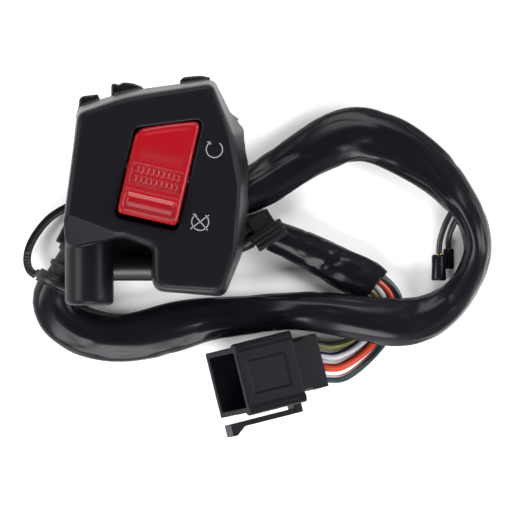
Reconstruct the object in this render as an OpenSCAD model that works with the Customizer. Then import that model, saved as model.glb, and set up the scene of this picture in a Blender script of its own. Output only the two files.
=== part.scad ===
/* [Handlebar] */
// Diameter of the handlebar that the two shells clamp
bar_d = 22.2; // [20:0.1:25.4]
// Length of the half-round clamp wall along the bar
clamp_len = 28; // [20:1:30]
// Wall of plastic round the bar
saddle_wall = 3; // [2:0.5:4]
// Radius of the chamber for the throttle drum
drum_r = 14; // [13:0.5:14.5]
// Width of the drum chamber along the bar
drum_w = 6.7; // [5:0.1:7]
// Radius of the hole in the end wall for the throttle tube
tube_hole_r = 12.6; // [12:0.1:13]
// Radius of the ribs round the rear half of the clamp
rib_reach = 18.5; // [17:0.5:20]

/* [Shells] */
// Height of the front face over the bar's axis
face_z = 29; // [28:0.5:34]
// Thickness of the moulded walls
wall = 2.5; // [2:0.1:3]
// Thickness of the rear shell's plate
plate_t = 3; // [2:0.5:4]
// How far the side walls lean in on the visible right side
right_draft = 4.2; // [2:0.2:5]
// How far the top walls lean in
top_draft = 2.4; // [1:0.2:3]
// Drop of the slanted facet over the cable boss
facet_drop = 8; // [5:0.5:9]

/* [Cable boss] */
// Outer radius of the throttle cable boss
boss_r = 7.3; // [6:0.1:8]
// Radius of the hole for the throttle cable's ferrule
boss_bore_r = 4; // [3:0.25:5]
// Distance of the boss's end below the bar's axis
boss_end = 43.5; // [38:0.5:48]

/* [Rocker] */
// Width of the red rocker
rocker_w = 18.2; // [16:0.2:20]
// Gap between the rocker and its pocket
rocker_gap = 0.5; // [0.4:0.1:0.8]
// Depth of the pivot below the front face
pivot_drop = 3; // [2.5:0.25:3.5]
// Radius of the pivot pins
pin_r = 1.2; // [1:0.1:1.4]
// Rocking angle between the two positions
rock_angle = 14; // [8:1:16]
// Radius of the sprung plunger
plunger_r = 2; // [1.6:0.1:2.2]

/* [Harness] */
// Diameter of the soft sleeve on the main harness
sheath_d = 12; // [9:0.5:12.5]
// Diameter of the second sleeve
sleeve_d = 10.6; // [8:0.2:11]
// Diameter of the taped wire bundle between the sleeves
bundle_d = 4.6; // [3.5:0.1:5]
// Diameter of one insulated wire
wire_d = 1.8; // [1.2:0.1:1.9]

/* [Connector] */
// Width of the connector's hood
hood_w = 20; // [18:0.5:24]
// Thickness of the connector's hood
hood_h = 17; // [15:0.5:20]
// Length of the hood, along its upper wall
hood_len = 18.5; // [16:0.5:22]
// Wall of the hood
hood_wall = 1.6; // [1.2:0.1:2]
// Tilt of the connector, which lies on its mounting lug
connector_tilt = 20; // [10:1:22]

/* [Hidden] */
$fn = 48;

eps = 0.01;
far = 200;
run_clear = 0.05;
bar_r = bar_d / 2;
saddle_r = bar_r + saddle_wall;
drum_wall = 2;
drum_outer = drum_r + drum_wall;
foot_flat = 0.5;
floor_z = foot_flat - rib_reach;

// Plan of the housing, anticlockwise from its top right corner, seen from the front: at the parting plane
outline = [[16.2, 24.3], [-10.5, 20.7], [-24.9, 15.9], [-28.8, -18.6], [-28.2, -26.7], [-10.8, -23.4],
           [-2.4, -26.7], [-2.4, -39.3], [19.4, -41.1], [25.2, -27], [28.3, 2.5], [26.6, 10.4], [21.2, 14.2]];
// How far each corner has moved in at the front face: the walls lean, and the shoulder at the right runs out
lean = [[-0.2, -top_draft * 0.8], [0.2, -top_draft], [1, -top_draft], [0.6, 0.2], [0.7, 0.5], [0, 0.6],
        [0.8, 0.6], [0.9, 0.9], [-0.8, 1.5], [-right_draft * 0.5, -0.3], [-right_draft * 0.88, -11],
        [-right_draft * 1.12, -3.9], [-right_draft * 0.36, -1.2]];
corner_r = [2.5, 60, 3, 12, 2.2, 6, 2.5, 3.6, 3, 20, 12, 3, 2];
corner_steps = 4;
shell_hub = [4, -10];
left_x = outline[3].x;
right_x = outline[10].x;

// Where the throttle drum's chamber and the clamp lie along the bar
end_wall = 5.8;
boss_in = 7.9;
drum_x0 = left_x + end_wall;
drum_x1 = drum_x0 + drum_w;
clamp_x0 = drum_x1 + drum_wall;
clamp_x1 = clamp_x0 + clamp_len;
boss_x = left_x + boss_in;
cable_in = 1.5;
boss_z = drum_r - cable_in;

function unit(v) = v / norm(v);
function inward(a, b) = let (d = unit(b - a)) [-d.y, d.x];

// The outline with each edge moved inwards by its own distance
function inset(p, d) = [for (i = [0 : len(p) - 1])
    let (h = (i + len(p) - 1) % len(p),
         n0 = inward(p[h], p[i]),
         n1 = inward(p[i], p[(i + 1) % len(p)]),
         c0 = p[i] * n0 + d[h],
         c1 = p[i] * n1 + d[i],
         det = n0.x * n1.y - n0.y * n1.x)
    [(c0 * n1.y - c1 * n0.y) / det, (n0.x * c1 - n1.x * c0) / det]];

// The outline with each corner turned into an arc of its own radius
function rounded(p, r, steps = corner_steps) = [for (i = [0 : len(p) - 1])
    let (a = unit(p[(i + len(p) - 1) % len(p)] - p[i]),
         b = unit(p[(i + 1) % len(p)] - p[i]),
         half = acos(a * b) / 2,
         centre = p[i] + unit(a + b) * r[i] / sin(half),
         from = p[i] + a * r[i] / tan(half) - centre,
         to = p[i] + b * r[i] / tan(half) - centre,
         turn = atan2(from.x * to.y - from.y * to.x, from * to))
    for (k = [0 : steps])
        let (w = atan2(from.y, from.x) + turn * k / steps)
        centre + r[i] * [cos(w), sin(w)]];

function fill(value, count) = [for (i = [1 : count]) value];
function level(p, z) = [for (q = p) [q.x, q.y, z]];

// A closed skin through rings of points that all have the same count, closed by fans about a hub
module loft(rings, hub = []) {
    count = len(rings[0]);
    top = (len(rings) - 1) * count;
    ends = [rings[0], rings[len(rings) - 1]];
    hubs = [for (ring = ends) hub == [] ? fill(1 / count, count) * ring : [hub.x, hub.y, ring[0].z]];
    low = len(rings) * count;
    sides = [for (j = [0 : count : top - count]) for (i = [0 : count - 1])
        let (a = j + i, b = j + (i + 1) % count)
        for (face = [[a, a + count, b], [b, a + count, b + count]]) face];
    caps = [for (i = [0 : count - 1])
        let (n = (i + 1) % count)
        for (face = [[low, i, n], [low + 1, top + n, top + i]]) face];
    polyhedron(concat([for (ring = rings) for (q = ring) q], hubs), concat(sides, caps));
}

// A tube along a list of points, with flat ends; share gives its width at each point
module tube(route, r, sides = 10, share = []) {
    last = len(route) - 1;
    loft([for (i = [0 : last])
        let (t = unit(route[min(i + 1, last)] - route[max(i - 1, 0)]),
             side = unit(cross([0, 0, 1], t)),
             up = cross(t, side),
             ring_r = i < len(share) ? r * share[i] : r)
        [for (k = [0 : sides - 1])
            route[i] + ring_r * (cos(k * 360 / sides) * side + sin(k * 360 / sides) * up)]]);
}

// A route whose heights are counted from the surface that the part lies on
function lie(route) = [for (q = route) [q.x, q.y, q.z + floor_z]];
module along_x(x0, x1, r) translate([x0, 0, 0]) rotate([0, 90, 0]) cylinder(r = r, h = x1 - x0);

// Frame of the rocker: its middle on the front face, turned to lie along the grip
rocker_mid = [-0.3, -4.2];
rocker_turn = -13;
pivot_z = face_z - pivot_drop;
module rocker_frame() translate([rocker_mid.x, rocker_mid.y, pivot_z]) rotate(rocker_turn) children();

// Plan of the rocker, with the slanted upper edge
rocker_low = -15.1;
rocker_plan = [[rocker_w / 2, 17.9], [-rocker_w / 2, 11.1], [-rocker_w / 2, rocker_low],
               [rocker_w / 2, rocker_low]];
rocker_corner = 2.2;
pocket_corner = 1.6;
function rocker_outline(grow, corner) = rounded(inset(rocker_plan, fill(-grow, 4)), fill(corner, 4));
well_wall = 1.8;
well_depth = 9;
ear_in = 5.6;

// Side profile of the rocker's upper surface: distance along it, height over the pivot
rocker_profile = [[18.4, -1.6], [18.4, 1.2], [17, pivot_drop - 0.4], [14, pivot_drop + 0.2],
    [8, pivot_drop + 0.3], [3, pivot_drop + 0.9], [-4, pivot_drop + 2], [-6.9, pivot_drop + 2.6],
    [-8.6, pivot_drop + 1.6], [-10.6, pivot_drop + 1.9], [-12.6, pivot_drop + 3.6],
    [-13.6, pivot_drop + 3.9], [-14.4, pivot_drop + 3], [-15.4, 1], [-15.4, -1.6]];

// Clamp screws, one on each side of the bar
screw_x = 4;
post_r = 4;
post_bite = 1;
screw_y = saddle_r + post_r - post_bite;
screw_r = 2;
screw_core_r = screw_r + run_clear;
screw_hole_r = 2.7;
screw_depth = 11;
screw_head_r = 4.2;
screw_head_h = 3.2;
rear_boss_r = 4.8;
rear_boss_h = 6;

// Contact carrier under the rocker
carrier_t = 2.4;
carrier_z = saddle_r + 0.5;
carrier_top = carrier_z + carrier_t;
bridge_gap = 1.1;
bridge_lift = carrier_t + bridge_gap;
bridge_drop = pivot_z - carrier_z - bridge_lift;
carrier_size = [22.4, 20];
carrier_low = -13;
fixing_u = 10.2;
fixing_v = -9;
fixing_r = 1.1;
fixing_head_r = 2.1;
fixing_head_h = 1.5;
fixing_post_r = 2.4;
well_low = pivot_z - well_depth + pivot_drop;

// A ring of the front shell, at a share of the lean, moved in by a further edge rounding
function shell_ring(z, share, edge) = level(rounded(
    inset(outline + share * lean, fill(edge, len(outline))), corner_r), z);

module front_form() {
    loft([shell_ring(0, 0, 0), shell_ring(face_z - 2.4, 0.92, 0), shell_ring(face_z - 0.9, 1, 0.3),
          shell_ring(face_z - 0.25, 1, 0.8), shell_ring(face_z, 1, 1.7)], shell_hub);
}

// The slanted facet over the cable boss, cut along a crease in the front face
crease_start = [-27.6, -16.2];
crease_end = [-7.8, -23.7];
facet_reach = 10;
facet_over = 8;
facet_stop = 0.4;
module facet_cut(depth) {
    along = crease_end - crease_start;
    translate([crease_start.x, crease_start.y, face_z - depth])
        rotate(atan2(along.y, along.x))
            rotate([atan2(facet_drop, facet_reach), 0, 0])
                translate([-facet_over, -boss_end, 0])
                    cube([norm(along) + facet_over - facet_stop, boss_end, face_z]);
}

module front_cavity() {
    difference() {
        loft([shell_ring(-1, 0, wall), shell_ring(face_z - wall, 1, wall)], shell_hub);
        facet_cut(wall * 1.3);
    }
}

// What stands inside the front shell: half-round saddle, drum chamber, ribs and screw posts
module front_inner() {
    along_x(drum_x1, clamp_x1, saddle_r);
    along_x(left_x, clamp_x0, drum_outer);
    for (x = [clamp_x0 - drum_wall, clamp_x1 - drum_wall])
        translate([x, -far / 2, 0]) cube([drum_wall, far, saddle_r - 1]);
    for (side = [-1, 1])
        translate([screw_x, side * screw_y, 0]) cylinder(r = post_r, h = screw_depth + 1.5);
    translate([boss_x, -boss_end / 2, boss_z]) rotate([90, 0, 0])
        cylinder(r = boss_r, h = boss_end, center = true);
    rocker_frame() {
        translate([0, 0, pivot_drop - well_depth])
            linear_extrude(well_depth - wall)
                polygon(rocker_outline(rocker_gap + well_wall, pocket_corner + well_wall));
        for (side = [-1, 1])
            translate([side * fixing_u, fixing_v, carrier_top - pivot_z])
                cylinder(r = fixing_post_r, h = well_low - carrier_top + 1);
    }
}

// The bar, the drum, the throttle tube and the way out for the bar, cut from both shells
module bar_cuts() {
    along_x(left_x - 5, right_x + 5, bar_r);
    along_x(drum_x0, drum_x1, drum_r);
    along_x(left_x - 5, drum_x0 + eps, tube_hole_r);
    along_x(clamp_x1, right_x + 5, bar_r + 1);
}

module front_shell() color("#1b1b1f") {
    difference() {
        union() {
            difference() {
                front_form();
                facet_cut(0);
                front_cavity();
            }
            intersection() {
                front_form();
                front_inner();
            }
            translate([boss_x, -boss_end, boss_z]) rotate([-90, 0, 0]) boss_tip();
        }
        bar_cuts();
        translate([0, 0, -far]) cube([far, far, 2 * far], center = true);
        for (side = [-1, 1])
            translate([screw_x, side * screw_y, -1]) cylinder(r = screw_core_r, h = screw_depth + 1);
        translate([boss_x, -boss_end - 1, boss_z]) rotate([-90, 0, 0])
            cylinder(r = boss_bore_r, h = boss_end - drum_r / 2);
        rocker_frame() {
            translate([0, 0, pivot_drop - well_depth - 1])
                linear_extrude(2 * well_depth) polygon(rocker_outline(rocker_gap, pocket_corner));
            for (side = [-1, 1]) {
                translate([side * fixing_u, fixing_v, carrier_top - pivot_z - 1])
                    cylinder(r = fixing_r + run_clear, h = 4.5);
                pivot_pin(side, 0);
            }
        }
    }
}

// The cable boss outside the shell, with a rounded end
boss_round = 1.6;
module boss_tip() {
    rotate_extrude() {
        difference() {
            square([boss_r, boss_end + outline[5].y + 2]);
            translate([boss_r - boss_round, 0]) square(boss_round);
        }
        intersection() {
            translate([boss_r - boss_round, boss_round]) circle(boss_round);
            square([boss_r, boss_round]);
        }
    }
}

// Rear half: plate, ribbed half-round hump, drum chamber, screw bosses, harness gland and hook tabs
rear_inset = 0.4;
rib_w = 2.4;
tab_t = 2;
// Plans of the three tabs that hook over the top edge
tabs = [[[-24.6, 13.5], [-18.2, 15], [-18.2, 18.3], [-18.6, 19.8], [-23.4, 19.2], [-24.3, 18.3]],
        [[-14.7, 17], [-5.1, 18], [-5.1, 21.9], [-8.1, 23.1], [-11.1, 23.4], [-12.6, 22.5], [-13.5, 23.1],
         [-14.7, 22.8]],
        [[6, 20], [15, 21], [15, 24.9], [12.3, 25.4], [7.2, 25], [6, 24]]];
gland_dir = [-0.453, -0.891];
gland_start = [-22.5, -21];
gland_len = 7;
gland_r = 6.4;
gland_h = 8;
gland_bore_r = 4.2;
guide_r = 4.7;
guide_y = -31.6;
guide_x0 = -16;
guide_x1 = 6;
module gland_frame() translate([gland_start.x, gland_start.y, gland_h + floor_z])
    rotate([0, 90, atan2(gland_dir.y, gland_dir.x)]) children();

// What lies outside the slanted left end
hump_inset = 0.3;
module left_cut() {
    along = outline[2] - outline[3];
    translate([outline[3].x, outline[3].y, 0]) rotate(atan2(along.y, along.x))
        translate([-far / 2, -hump_inset, -far / 2]) cube([far, far, far]);
}

module rear_shell() color("#202024") {
    difference() {
        union() {
            translate([0, 0, -plate_t]) linear_extrude(plate_t)
                polygon(rounded(inset(outline, fill(rear_inset, len(outline))), corner_r));
            along_x(drum_x1, clamp_x1, saddle_r);
            difference() {
                along_x(left_x, clamp_x0, drum_outer);
                left_cut();
            }
            for (x = [clamp_x0 + rib_w, screw_x - screw_head_r - 1 - rib_w, screw_x + screw_head_r + 1])
                along_x(x, x + rib_w, rib_reach);
            for (side = [-1, 1])
                translate([screw_x, side * screw_y, -plate_t - rear_boss_h])
                    cylinder(r = rear_boss_r, h = rear_boss_h + eps);
            gland_frame() cylinder(r = gland_r, h = gland_len);
            translate([gland_start.x, gland_start.y, gland_h + floor_z])
                rotate(atan2(gland_dir.y, gland_dir.x))
                    translate([0, -gland_r, 0]) cube([gland_len, 2 * gland_r, -gland_h - floor_z - eps]);
            translate([guide_x0, guide_y, -guide_r]) rotate([0, 90, 0])
                cylinder(r = guide_r, h = guide_x1 - guide_x0);
            for (tab = tabs) translate([0, 0, -plate_t]) linear_extrude(tab_t) polygon(tab);
        }
        bar_cuts();
        translate([0, 0, far]) cube([2 * far, 2 * far, 2 * far], center = true);
        translate([0, 0, floor_z - far]) cube([2 * far, 2 * far, 2 * far], center = true);
        for (side = [-1, 1])
            translate([screw_x, side * screw_y, -far / 2]) cylinder(r = screw_hole_r, h = far);
        gland_frame() translate([0, 0, gland_len - 5]) cylinder(r = gland_bore_r, h = 6);
    }
}

// Pan-head screws, from the rear into the front shell's posts
module clamp_screws() color("#b9bcc2") {
    for (side = [-1, 1])
        translate([screw_x, side * screw_y, -plate_t - rear_boss_h]) {
            cylinder(r = screw_r, h = plate_t + rear_boss_h + screw_depth - 1);
            translate([0, 0, -screw_head_h]) difference() {
                cylinder(r = screw_head_r, h = screw_head_h);
                for (a = [0, 90]) rotate(a) translate([-2.2, -0.5, -1]) cube([4.4, 1, 2.6]);
            }
        }
}

// Pivot pin on one side of the rocker, let into the wall of the pocket
module pivot_pin(side, clear) {
    reach = rocker_w / 2 + rocker_gap + well_wall - 0.3;
    rotate([0, 90 * side, 0]) translate([0, 0, ear_in - clear])
        cylinder(r = pin_r + clear, h = reach - ear_in + clear);
}

module pivot_pins() color("#c8cace") rocker_frame() for (side = [-1, 1]) pivot_pin(side, 0);

// Red rocker: finger form, side ears for the pins and a hollow stem for the plunger
ear_r = 2.5;
stem_r = 3.2;
stem_clear = 2.7;
stem_end = stem_clear - bridge_drop;
spring_share = 0.152;
stem_bore_top = spring_share * bridge_drop;
stem_lean = -rock_angle / 2;
frame_size = [15.2, 6.2, 0.5];
frame_mid = [0, -1.6, pivot_drop + 1.55];
frame_pitch = -9;
module rocker_body() {
    intersection() {
        rotate([90, 0, 90]) linear_extrude(2 * rocker_w, center = true) polygon(rocker_profile);
        linear_extrude(2 * rocker_w, center = true) polygon(rocker_outline(0, rocker_corner));
        union() {
            rotate([0, 90, 0]) cylinder(r = -rocker_low, h = 2 * rocker_w, center = true);
            translate([-rocker_w, 0, -rocker_w]) cube(2 * rocker_w);
        }
    }
    for (side = [-1, 1])
        rotate([0, 90 * side, 0]) translate([0, 0, ear_in - 1.2])
            cylinder(r = ear_r, h = rocker_w / 2 - ear_in + 1.2);
    rotate([stem_lean, 0, 0]) translate([0, 0, stem_end]) cylinder(r = stem_r, h = -stem_end);
}

module rocker() color("#c4101c") rocker_frame() difference() {
    rocker_body();
    for (side = [-1, 1]) pivot_pin(side, run_clear);
    rotate([stem_lean, 0, 0]) translate([0, 0, stem_end - 1])
        cylinder(r = plunger_r + run_clear, h = stem_bore_top - stem_end + 1);
    translate(frame_mid) rotate([frame_pitch, 0, 0]) cube(frame_size, center = true);
}

// Sprung plunger in the stem, with a round tip on the contact bridge
tip_clear = 3.1;
plunger_top = -spring_share * bridge_drop;
plunger_tip = tip_clear - bridge_drop;
module detent_plunger() color("#d8d2c0") rocker_frame() rotate([stem_lean, 0, 0]) {
    translate([0, 0, plunger_tip]) difference() {
        sphere(plunger_r);
        translate([-2 * plunger_r, -2 * plunger_r, 0]) cube(4 * plunger_r);
    }
    translate([0, 0, plunger_tip]) cylinder(r = plunger_r, h = plunger_top - plunger_tip);
}

module detent_spring() color("#a9adb3") rocker_frame() rotate([stem_lean, 0, 0])
    translate([0, 0, plunger_top + run_clear]) difference() {
        cylinder(r = plunger_r - 0.3, h = stem_bore_top - plunger_top - 2 * run_clear);
        translate([0, 0, -1]) cylinder(r = plunger_r - 0.9, h = 10);
    }

// Moulded carrier plate with its rivet holes, screwed under the rocker's pocket
contact_v = 5.2;
rivet_r = 1.4;
post_pin_r = 1;
rivet_tail = 0.3;
module carrier_frame() rocker_frame() translate([0, 0, carrier_z - pivot_z]) children();

module contact_carrier() color("#6b5a3c") carrier_frame() difference() {
    translate([-carrier_size.x / 2, carrier_low, 0]) cube([carrier_size.x, carrier_size.y, carrier_t]);
    for (v = [-contact_v, contact_v]) translate([0, v, -1]) cylinder(r = rivet_r, h = 10);
    translate([0, 0, -1]) cylinder(r = post_pin_r, h = 10);
    for (side = [-1, 1])
        translate([side * fixing_u, fixing_v, -1]) cylinder(r = fixing_r + 0.2, h = 10);
}

module carrier_screws() color("#b9bcc2") carrier_frame() for (side = [-1, 1])
    translate([side * fixing_u, fixing_v, -fixing_head_h]) {
        cylinder(r = fixing_head_r, h = fixing_head_h);
        cylinder(r = fixing_r, h = fixing_head_h + carrier_t + 3);
    }

module rivet(v, r, top) carrier_frame() translate([0, v, -rivet_tail])
    cylinder(r = r, h = rivet_tail + carrier_t + top);
module run_contact() color("#c9a24b") rivet(-contact_v, rivet_r, 0.1);
module stop_contact() color("#c9a24b") rivet(contact_v, rivet_r, 0.1);

// Post that the bridge rocks on, and the bridge, tipped towards the contact that is closed
bridge_t = 0.7;
bridge_size = [4.4, 13];
bridge_tip = 4;
dome_h = 0.4;
module common_post() color("#c9a24b") rivet(0, post_pin_r, bridge_gap - 0.15);
module contact_bridge() color("#b98a3a") carrier_frame() translate([0, 0, bridge_lift])
    rotate([bridge_tip, 0, 0]) {
        translate([-bridge_size.x / 2, -bridge_size.y / 2, 0]) cube([bridge_size.x, bridge_size.y, bridge_t]);
        for (v = [-contact_v, contact_v]) translate([0, v, -dome_h]) cylinder(r = 1.1, h = dome_h + eps);
    }

// Ribbed rubber grommet: neck in the gland, two rings and a boot that widens to the sleeve
boot_end = 20;
neck_len = 4.5;
module grommet() color("#17171a") gland_frame() rotate_extrude() polygon([
    [0, gland_len - neck_len], [gland_bore_r - run_clear, gland_len - neck_len],
    [gland_bore_r - run_clear, gland_len], [5, gland_len], [5, gland_len + 1.4], [4.2, gland_len + 1.8],
    [4.5, 12], [5.3, 12.3], [5.3, 13.5], [4.7, 13.8], [5, boot_end - 2], [0, boot_end - 2]]);

// Taped collar over the start of the sleeve
collar_start = 16.4;
collar_len = 3.6;
collar_t = 0.7;
sheath_r = sheath_d / 2;
module hoop(start, length, r_in, thick) gland_frame() translate([0, 0, start]) difference() {
    cylinder(r = r_in + thick, h = length);
    translate([0, 0, -1]) cylinder(r = r_in, h = length + 2);
}
module sheath_collar() color("#121214") hoop(collar_start, collar_len, sheath_r + run_clear, collar_t);

// Cable tie: a hoop over the collar and its long tail
tie_w = 2.4;
tie_t = 1.1;
tie_route = [[-26.4, -13.6, 2], [-29, -14.4, 2.2], [-33.6, -17.4, 3], [-37.2, -21.6, 4], [-39.6, -26, 5],
             [-40.3, -30, 6], [-39.5, -33, 7], [-37.6, -34.6, 7.6]];
module strap(route, w, t) {
    last = len(route) - 1;
    loft([for (i = [0 : last])
        let (d = unit(route[min(i + 1, last)] - route[max(i - 1, 0)]),
             side = unit(cross([0, 0, 1], d)) * w / 2,
             up = cross(d, unit(side)) * t / 2)
        [route[i] + side - up, route[i] + side + up, route[i] - side + up, route[i] - side - up]]);
}
module cable_tie() color("#1c1c20") {
    hoop(collar_start + 0.6, tie_w, sheath_r + 2 * run_clear + collar_t, tie_t);
    strap(lie(tie_route), tie_w, tie_t);
}

// Soft sleeve of the harness, from the grommet round the front and in a loop to behind the housing
sheath_route = [[-30, -35.6, 8], [-31.4, -38.6, 7.8], [-32, -42, 7.2], [-30.4, -46.2, 6.6], [-27, -49.6, 6.2],
    [-22, -52.2, 6.2], [-15, -53.6, 6.2], [-6, -52.6, 6.2], [4, -50, 6.2], [14, -48, 6.2], [24, -46.8, 6.4],
    [35, -45.8, 7.4], [45, -45.6, 9], [55, -46.8, 10.8], [64, -48.2, 11.2], [72, -48.8, 10.8],
    [79.5, -47.6, 8.8], [86.4, -43.6, 6.4], [91.6, -37.8, 5], [94.8, -31, 4.7], [95.6, -24.6, 4.7],
    [93.4, -16.8, 5], [88, -9.4, 6], [81.6, -2.4, 6.2], [74, 3.2, 6.2], [66.4, 6.6, 6.2], [59.4, 8, 6.2],
    [52.6, 6.6, 6.2], [45.6, 3, 6.2], [39, -1.4, 6.2], [32.4, -5.8, 6.2], [26.4, -9.4, 6.2],
    [22.8, -11.6, 6.2]];
// The sleeve lies on its edge in the tight turn at the right
sheath_share = [for (i = [0 : len(sheath_route) - 1])
    i == 17 || i == 22 ? 0.95 : i == 18 || i == 21 ? 0.8 : i == 19 || i == 20 ? 0.75 : 1];
module main_sheath() color("#1a1a20") tube(lie(sheath_route), sheath_r, 12, sheath_share);

// Taped wires that fold back behind the housing into the second sleeve
bundle_route = [[22.8, -11.6, 5], [19, -14.2, 4], [13.8, -17, 3], [10, -20.6, 2.6], [10, -25, 2.6],
                [14, -28, 2.6], [19.6, -27.8, 3.4], [24.6, -25.4, 4.6], [28, -23.4, 5.4]];
module wire_bundle() color("#2a2a30") tube(lie(bundle_route), bundle_d / 2, 10);

// Ribbed clip block that holds the second sleeve to the bundle
clip_mid = [31.6, -20.4];
clip_turn = 32;
clip_low = 0.2;
module clip_frame() translate([clip_mid.x, clip_mid.y, floor_z + clip_low]) rotate(clip_turn) children();
clip_block = [10.4, 5.4, 11.8];
clip_tail = [7, 5, 11];
clip_rib = [9.2, 0.7, 0.6];
clip_pitch = 1.5;
module sleeve_clip() color("#1d1a20") clip_frame() {
    translate([-clip_tail.x / 2, -0.2, 0]) cube(clip_tail);
    translate([-clip_block.x / 2, 0.2 - clip_block.y, 0]) cube(clip_block);
    for (i = [1 : 3])
        translate([-clip_rib.x / 2, 0.1 - i * clip_pitch, clip_block.z - eps]) cube(clip_rib);
}

sleeve_route = [[33.6, -22.6, 6], [38, -24.4, 5.5], [44, -26.8, 5.4], [51, -30.4, 5.4], [57.6, -33.8, 5.4],
                [64.2, -36.6, 5.4]];
module second_sleeve() color("#1a1a20") tube(lie(sleeve_route), sleeve_d / 2, 12);

// Coloured wires from the open end of the second sleeve to the connector, in two layers
wire_count = 8;
inner_route = [[63.1, -39.4, 4.3], [64.8, -42.6, 2.2], [62.5, -49, 1.1],
    [57.5, -53.8, 1.6], [51.5, -55.6, 3.6], [46.2, -54.8, 4.6]];
outer_route = [[65.3, -33.8, 4.3], [72, -41, 2.2], [70.5, -50, 1.1], [64.5, -58.8, 1.6], [56, -65.6, 3.6],
               [49, -66.2, 4.6]];
layer_rise = [2.2, 2.1, 2, 2, 2.6, 3.6];
function wire_route(i) = let (t = floor(i / 2) / (wire_count / 2 - 1))
    [for (k = [0 : len(inner_route) - 1])
        inner_route[k] + (outer_route[k] - inner_route[k]) * (0.94 * t + (i % 2) * 0.06)
        + [0, 0, (i % 2) * layer_rise[k]]];
module wire(i, shade) color(shade) tube(lie(wire_route(i)), wire_d / 2, 8);
module wire_black() wire(0, "#141416");
module wire_green() wire(1, "#8a9a2a");
module wire_blue() wire(2, "#1d2f6e");
module wire_grey() wire(3, "#8d9096");
module wire_red() wire(4, "#b3161c");
module wire_orange() wire(5, "#d9691c");
module wire_white() wire(6, "#e6e6e2");
module wire_teal() wire(7, "#1c4a4e");

// Multi-pin connector, lying tilted on its lug
connector_at = [44.5, -61];
connector_turn = 13.7;
holder_len = 9.3;
holder_w = 16.4;
holder_h = 13;
groove = [3, 1.6];
mouth_slant = 12;
cavity_end = holder_len + 2.8;
mouth_x = -holder_len - hood_len;
panel = [12.4, 10];
panel_deep = 0.5;
panel_in = 3.4;
rail_r = 1.6;
mouth_spare = 8;
lug = [9, 8, 12.5];
lug_x = -26;
module connector_frame() translate([connector_at.x, connector_at.y, floor_z])
    rotate([0, 0, connector_turn]) rotate([0, connector_tilt, 0]) children();
module below_floor() translate([0, 0, floor_z - far]) cube([2 * far, 2 * far, 2 * far], center = true);

latch_gap = 2.2;
latch_t = 1.6;
latch_z = 5.5;
latch_w = 6;
latch_root = holder_len + 2.6;
latch_tip = holder_len + hood_len + 5;
latch_play = 0.3;
latch_y = -hood_w / 2 - latch_gap - latch_t;

module connector_hood() color("#17171a") difference() {
    connector_frame() difference() {
        union() {
            translate([mouth_x - mouth_spare, -hood_w / 2, 0]) cube([hood_len + mouth_spare, hood_w, hood_h]);
            for (side = [-1, 1])
                translate([mouth_x - mouth_spare, side * (hood_w / 2 - 0.6), hood_h - rail_r + 0.5])
                    rotate([0, 90, 0]) cylinder(r = rail_r, h = hood_len + mouth_spare);
            translate([-latch_root, latch_y, latch_z])
                cube([latch_root - holder_len, latch_gap + latch_t + 1, latch_w]);
            translate([lug_x, -lug.y / 2, 0.5 - lug.z]) cube(lug);
        }
        translate([-far - cavity_end, -hood_w / 2 + hood_wall, hood_wall])
            cube([far, hood_w - 2 * hood_wall, hood_h - 2 * hood_wall]);
        translate([mouth_x, 0, hood_h]) rotate([0, mouth_slant, 0])
            translate([-hood_w, -far / 2, -far / 2]) cube([hood_w, far, far]);
        translate([-holder_len - panel_in - panel.x, -panel.y / 2, hood_h - panel_deep])
            cube([panel.x, panel.y, rail_r]);
    }
    below_floor();
}

module connector_holder() color("#1c1c20") connector_frame() difference() {
    translate([-holder_len, -holder_w / 2, 0]) cube([holder_len, holder_w, holder_h]);
    for (side = [-1, 1])
        translate([-holder_len + groove.x, side * holder_w / 2, holder_h / 2])
            cube([groove.x, groove.y, holder_h + 2], center = true);
}

module connector_latch() color("#17171a") connector_frame() {
    translate([-latch_tip, latch_y, latch_z]) cube([latch_tip - latch_root - latch_play, latch_t, latch_w]);
    translate([-latch_tip, latch_y, latch_z]) linear_extrude(latch_w)
        polygon([[0, 0], [0, -2.2], [1.4, -2.2], [4.4, eps]]);
}

pin_size = [9, 0.9, 0.9];
pin_pitch = 3.6;
module connector_pins() color("#c9c4b0") connector_frame()
    for (i = [-1.5 : 1.5]) for (z = [0.36, 0.64])
        translate([-cavity_end - pin_size.x, i * pin_pitch - pin_size.y / 2, hood_h * z - pin_size.z / 2])
            cube(pin_size);

// Two short leads with bullet terminals in soft sleeves, branching off inside the loop
branch_routes = [[[88.4, -14.4, 6], [86, -19, 6], [84.4, -24, 5.4], [84, -28.2, 5]],
                 [[89.6, -17, 4], [87.8, -21, 2.8], [87, -24, 1.9], [87, -26.5, 1.9]]];
branch_len = [8, 6.2];
branch_outer = [2.2, 1.7];
branch_inner = [1.5, 1.2];
function branch_end(i) = lie(branch_routes[i])[len(branch_routes[i]) - 1];
module branch_wires() color("#1b1b1e") for (i = [0, 1]) tube(lie(branch_routes[i]), wire_d / 2, 8);
module branch_tube(i, r, length) translate(branch_end(i)) rotate([90, 0, 0]) cylinder(r = r, h = length);
module branch_sleeves() color("#1b1b1e") for (i = [0, 1]) difference() {
    branch_tube(i, branch_outer[i], branch_len[i]);
    translate([0, -eps, 0]) branch_tube(i, branch_inner[i], branch_len[i] + 1);
}
module bullet_terminals() color("#c9a24b") for (i = [0, 1])
    branch_tube(i, branch_inner[i] - run_clear, branch_len[i] - 1.2);

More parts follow.
